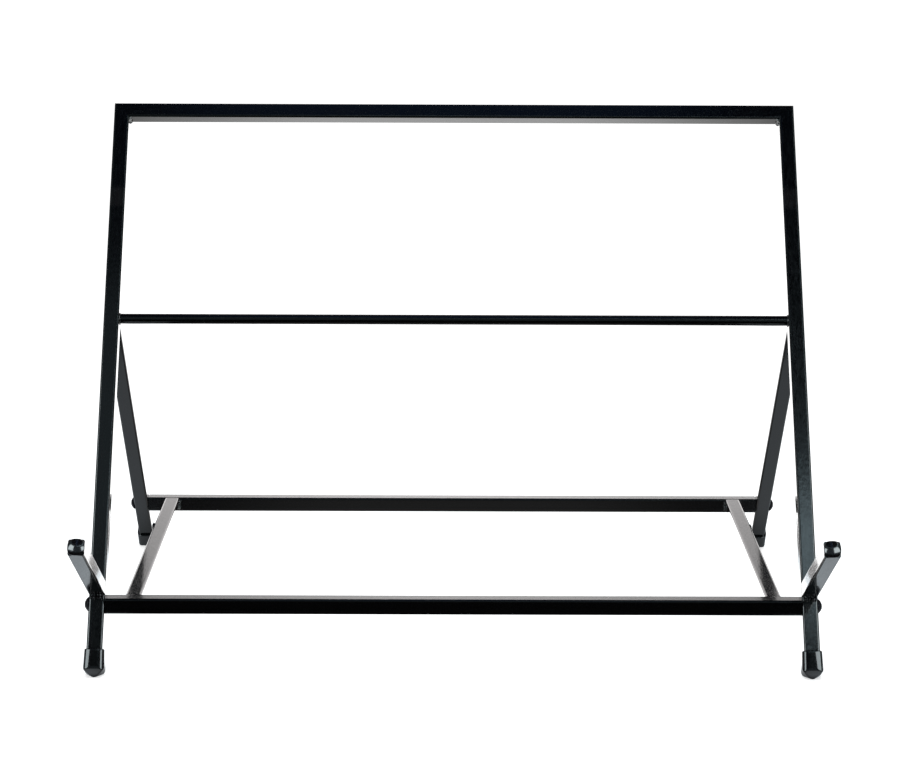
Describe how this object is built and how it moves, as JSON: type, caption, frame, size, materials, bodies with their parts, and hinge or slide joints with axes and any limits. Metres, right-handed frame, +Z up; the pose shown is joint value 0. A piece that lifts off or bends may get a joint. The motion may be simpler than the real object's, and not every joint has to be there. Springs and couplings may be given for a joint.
{
  "type": "modular synth stand",
  "caption": "Slanted table stand of black square steel tube: two leaning uprights with case arms, a bolted base frame, two rear legs and vinyl foot caps.",
  "frame": {"origin": "on the floor, at the middle of the stand's bounding box in plan", "axes": "+Z up, +X to the right as seen from the front, +Y to the back, so the case arms point towards -Y and up"},
  "size_m": [0.692, 0.5204, 0.4983],
  "materials": {
    "gloss_black_paint": "gloss black stoved paint on welded steel tube",
    "black_vinyl": "glossy dip-moulded soft vinyl",
    "black_plastic": "glossy moulded polyethylene",
    "black_bolt": "black oxide, slightly oiled",
    "zinc_steel": "bright zinc on machined steel"
  },
  "bodies": {
    "root": {"left_upright": "gloss_black_paint", "right_upright": "gloss_black_paint", "top_rail": "gloss_black_paint", "cross_rod": "gloss_black_paint", "left_case_arm": "gloss_black_paint", "right_case_arm": "gloss_black_paint", "left_rear_leg": "gloss_black_paint", "right_rear_leg": "gloss_black_paint", "front_rail": "gloss_black_paint", "back_rail": "gloss_black_paint", "left_side_rail": "gloss_black_paint", "right_side_rail": "gloss_black_paint", "left_front_block": "zinc_steel", "left_rear_block": "zinc_steel", "right_front_block": "zinc_steel", "right_rear_block": "zinc_steel", "left_front_bolt": "black_bolt", "left_rear_bolt": "black_bolt", "right_front_bolt": "black_bolt", "right_rear_bolt": "black_bolt", "left_front_cap": "black_vinyl", "left_rear_cap": "black_vinyl", "right_front_cap": "black_vinyl", "right_rear_cap": "black_vinyl", "left_arm_plug": "black_plastic", "right_arm_plug": "black_plastic", "top_corner_welds": "gloss_black_paint", "cross_rod_welds": "gloss_black_paint", "case_arm_welds": "gloss_black_paint", "rear_leg_welds": "gloss_black_paint", "base_frame_welds": "gloss_black_paint"}
  },
  "joints": []
}
